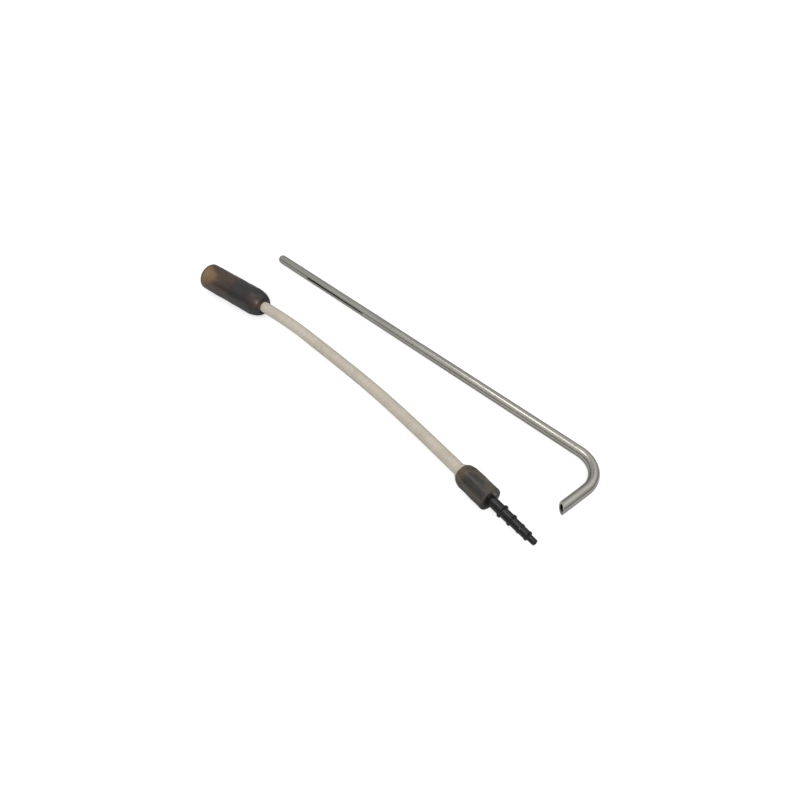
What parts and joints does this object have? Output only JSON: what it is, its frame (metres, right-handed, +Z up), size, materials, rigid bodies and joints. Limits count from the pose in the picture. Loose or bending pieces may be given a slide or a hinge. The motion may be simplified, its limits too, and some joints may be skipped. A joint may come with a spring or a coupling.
{
  "type": "fuel sampling hose and probe tube set",
  "caption": "Two-piece sampling line: flexible hose with a soft socket boot and a stepped barbed adapter, and a loose bent steel tube with a rounded tip, side slot and open cut end.",
  "frame": {"origin": "on the floor under the middle of the set", "axes": "+X along the probe tube's long straight, from its rounded tip towards the bend; the tube's short leg points to -Y, where the hose line lies; +Z up"},
  "size_m": [0.3076, 0.0754, 0.019],
  "materials": {
    "smoked_elastomer": "soft smoked translucent tubing, satin",
    "milky_hose": "milky beige translucent hose, satin",
    "black_plastic": "black moulded plastic, semi-gloss",
    "stainless": "drawn stainless tube, fine polish"
  },
  "bodies": {
    "hose_line": {"socket_boot": "smoked_elastomer", "hose": "milky_hose", "coupling_sleeve": "smoked_elastomer"},
    "adapter": {"stepped_adapter": "black_plastic"},
    "probe": {"probe_tube": "stainless"}
  },
  "joints": [
    {"name": "adapter_pull", "type": "slide", "parent": "hose_line", "child": "adapter", "axis": [0.9895, -0.1442, 0], "range_m": [0, 0.03]},
    {"name": "probe_lift", "type": "slide", "parent": "hose_line", "child": "probe", "axis": [0, 0, 1], "range_m": [0, 0.06]}
  ]
}
